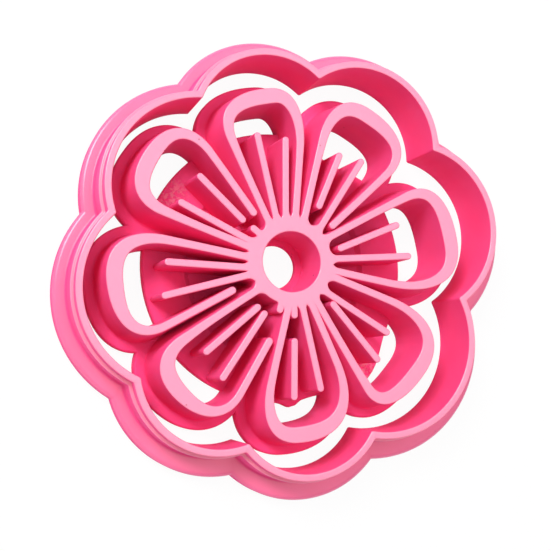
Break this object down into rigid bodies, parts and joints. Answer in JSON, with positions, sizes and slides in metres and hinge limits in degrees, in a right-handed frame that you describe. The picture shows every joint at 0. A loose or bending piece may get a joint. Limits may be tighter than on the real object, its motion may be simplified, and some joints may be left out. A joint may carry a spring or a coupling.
{
  "type": "cookie cutter",
  "caption": "Flower-shaped cookie cutter ring with a press flange, and a loose stamp insert of petal outlines and vein ribs that prints the dough inside it.",
  "frame": {"origin": "on the table under the middle of the cutter ring", "axes": "+Z up from the press side on the table to the cutting edge, +X to the right and +Y up in the picture"},
  "size_m": [0.097, 0.0946, 0.013],
  "materials": {
    "pink_plastic": "satin"
  },
  "bodies": {
    "cutter": {"cutter_ring": "pink_plastic"},
    "stamp": {"stamp_hub": "pink_plastic", "stamp_petal_1": "pink_plastic", "stamp_petal_2": "pink_plastic", "stamp_petal_3": "pink_plastic", "stamp_petal_4": "pink_plastic", "stamp_petal_5": "pink_plastic", "stamp_petal_6": "pink_plastic", "stamp_petal_7": "pink_plastic", "stamp_petal_8": "pink_plastic"}
  },
  "joints": [
    {"name": "stamp_lift", "type": "slide", "parent": "cutter", "child": "stamp", "axis": [0, 0, 1], "range_m": [0, 0.03]}
  ]
}
